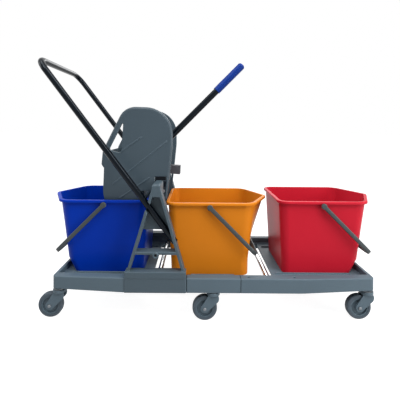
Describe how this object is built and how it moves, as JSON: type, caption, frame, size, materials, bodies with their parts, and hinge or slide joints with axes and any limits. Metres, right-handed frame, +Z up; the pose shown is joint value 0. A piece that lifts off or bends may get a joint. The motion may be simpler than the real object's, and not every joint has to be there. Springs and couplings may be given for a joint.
{
  "type": "mop bucket trolley",
  "caption": "Rolling trolley with coloured bail-handled buckets in a row, a lever-operated mop wringer on A-shaped stands and a bent-tube push handle.",
  "frame": {"origin": "on the floor under the middle of the base", "axes": "+X along the trolley toward the red bucket, +Z up, the near side faces -Y"},
  "size_m": [1.1142, 0.398, 0.8184],
  "materials": {
    "base_plastic": "fine-grained grey moulding",
    "stand_plastic": "satin grey moulding",
    "wringer_plastic": "fine-grained grey moulding",
    "blue_plastic": "smooth moulded blue",
    "orange_plastic": "smooth moulded orange",
    "red_plastic": "smooth moulded red",
    "bail_plastic": "smooth grey strap",
    "black_tube": "gloss black powder coat",
    "grip_plastic": "smooth blue sleeve",
    "bright_tube": "bright drawn tube",
    "zinc_steel": "zinc plated",
    "fork_plastic": "satin grey hood",
    "hub_plastic": "satin dark grey",
    "tyre_rubber": "smooth dark grey tread",
    "pad_rubber": "matt black rubber"
  },
  "bodies": {
    "trolley": {"base_left": "base_plastic", "base_centre": "base_plastic", "base_right": "base_plastic", "frame_bolts": "zinc_steel", "cross_tubes": "bright_tube", "caster_stems": "zinc_steel", "stand_near": "stand_plastic", "stand_far": "stand_plastic", "stand_bolts": "zinc_steel", "push_handle": "black_tube", "handle_bolts": "zinc_steel"},
    "wringer": {"wringer_panel_near": "wringer_plastic", "wringer_panel_far": "wringer_plastic", "drain_basket": "wringer_plastic", "stop_beam": "wringer_plastic", "lever_stop": "pad_rubber", "hanger_pads": "pad_rubber", "tie_rods": "zinc_steel", "tie_nuts": "zinc_steel", "press_shaft": "zinc_steel", "return_springs": "zinc_steel"},
    "press": {"press_plate": "wringer_plastic", "lever_tube": "black_tube", "lever_grip": "grip_plastic", "lever_bolt": "zinc_steel"},
    "caster_near_left": {"fork_near_left": "fork_plastic", "axle_near_left": "zinc_steel"},
    "wheel_near_left": {"hub_near_left": "hub_plastic", "tyre_near_left": "tyre_rubber"},
    "caster_near_middle": {"fork_near_middle": "fork_plastic", "axle_near_middle": "zinc_steel"},
    "wheel_near_middle": {"hub_near_middle": "hub_plastic", "tyre_near_middle": "tyre_rubber"},
    "caster_near_right": {"fork_near_right": "fork_plastic", "axle_near_right": "zinc_steel"},
    "wheel_near_right": {"hub_near_right": "hub_plastic", "tyre_near_right": "tyre_rubber"},
    "caster_far_left": {"fork_far_left": "fork_plastic", "axle_far_left": "zinc_steel"},
    "wheel_far_left": {"hub_far_left": "hub_plastic", "tyre_far_left": "tyre_rubber"},
    "caster_far_middle": {"fork_far_middle": "fork_plastic", "axle_far_middle": "zinc_steel"},
    "wheel_far_middle": {"hub_far_middle": "hub_plastic", "tyre_far_middle": "tyre_rubber"},
    "caster_far_right": {"fork_far_right": "fork_plastic", "axle_far_right": "zinc_steel"},
    "wheel_far_right": {"hub_far_right": "hub_plastic", "tyre_far_right": "tyre_rubber"},
    "bucket_blue": {"bucket_blue": "blue_plastic"},
    "bail_blue": {"bail_blue": "bail_plastic"},
    "bucket_orange": {"bucket_orange": "orange_plastic"},
    "bail_orange": {"bail_orange": "bail_plastic"},
    "bucket_red": {"bucket_red": "red_plastic"},
    "bail_red": {"bail_red": "bail_plastic"}
  },
  "joints": [
    {"name": "swivel_near_left", "type": "hinge", "parent": "trolley", "child": "caster_near_left", "pos_m": [-0.474, -0.165, 0.0865], "axis": [0, 0, 1], "continuous": true},
    {"name": "roll_near_left", "type": "hinge", "parent": "caster_near_left", "child": "wheel_near_left", "pos_m": [-0.5, -0.165, 0.0375], "axis": [0, 1, 0], "continuous": true},
    {"name": "swivel_near_middle", "type": "hinge", "parent": "trolley", "child": "caster_near_middle", "pos_m": [0, -0.176, 0.0865], "axis": [0, 0, 1], "continuous": true},
    {"name": "roll_near_middle", "type": "hinge", "parent": "caster_near_middle", "child": "wheel_near_middle", "pos_m": [-0.026, -0.176, 0.0375], "axis": [0, 1, 0], "continuous": true},
    {"name": "swivel_near_right", "type": "hinge", "parent": "trolley", "child": "caster_near_right", "pos_m": [0.474, -0.165, 0.0865], "axis": [0, 0, 1], "continuous": true},
    {"name": "roll_near_right", "type": "hinge", "parent": "caster_near_right", "child": "wheel_near_right", "pos_m": [0.448, -0.165, 0.0375], "axis": [0, 1, 0], "continuous": true},
    {"name": "swivel_far_left", "type": "hinge", "parent": "trolley", "child": "caster_far_left", "pos_m": [-0.474, 0.165, 0.0865], "axis": [0, 0, 1], "continuous": true},
    {"name": "roll_far_left", "type": "hinge", "parent": "caster_far_left", "child": "wheel_far_left", "pos_m": [-0.5, 0.165, 0.0375], "axis": [0, 1, 0], "continuous": true},
    {"name": "swivel_far_middle", "type": "hinge", "parent": "trolley", "child": "caster_far_middle", "pos_m": [0, 0.176, 0.0865], "axis": [0, 0, 1], "continuous": true},
    {"name": "roll_far_middle", "type": "hinge", "parent": "caster_far_middle", "child": "wheel_far_middle", "pos_m": [-0.026, 0.176, 0.0375], "axis": [0, 1, 0], "continuous": true},
    {"name": "swivel_far_right", "type": "hinge", "parent": "trolley", "child": "caster_far_right", "pos_m": [0.474, 0.165, 0.0865], "axis": [0, 0, 1], "continuous": true},
    {"name": "roll_far_right", "type": "hinge", "parent": "caster_far_right", "child": "wheel_far_right", "pos_m": [0.448, 0.165, 0.0375], "axis": [0, 1, 0], "continuous": true},
    {"name": "lift_bucket_blue", "type": "slide", "parent": "trolley", "child": "bucket_blue", "axis": [0, 0, 1], "range_m": [0, 0.015]},
    {"name": "swing_bail_blue", "type": "hinge", "parent": "bucket_blue", "child": "bail_blue", "pos_m": [-0.3495, 0, 0.337], "axis": [0, 1, 0], "range_deg": [0, 120]},
    {"name": "lift_bucket_orange", "type": "slide", "parent": "trolley", "child": "bucket_orange", "axis": [0.35, 0, 0.9367], "range_m": [0, 0.03]},
    {"name": "swing_bail_orange", "type": "hinge", "parent": "bucket_orange", "child": "bail_orange", "pos_m": [-0.01, 0, 0.33], "axis": [0, -1, 0], "range_deg": [0, 150]},
    {"name": "lift_bucket_red", "type": "slide", "parent": "trolley", "child": "bucket_red", "axis": [0, 0, 1], "range_m": [0, 0.08]},
    {"name": "swing_bail_red", "type": "hinge", "parent": "bucket_red", "child": "bail_red", "pos_m": [0.353, 0, 0.337], "axis": [0, -1, 0], "range_deg": [0, 150]},
    {"name": "lift_wringer", "type": "slide", "parent": "trolley", "child": "wringer", "axis": [0, 0, 1], "range_m": [0, 0.08]},
    {"name": "press_lever", "type": "hinge", "parent": "wringer", "child": "press", "pos_m": [-0.232, 0, 0.466], "axis": [0, 1, 0], "range_deg": [0, 47], "stiffness_Nm_per_rad": 2, "springref_deg": -63.03, "deforming": ["return_springs"]}
  ]
}
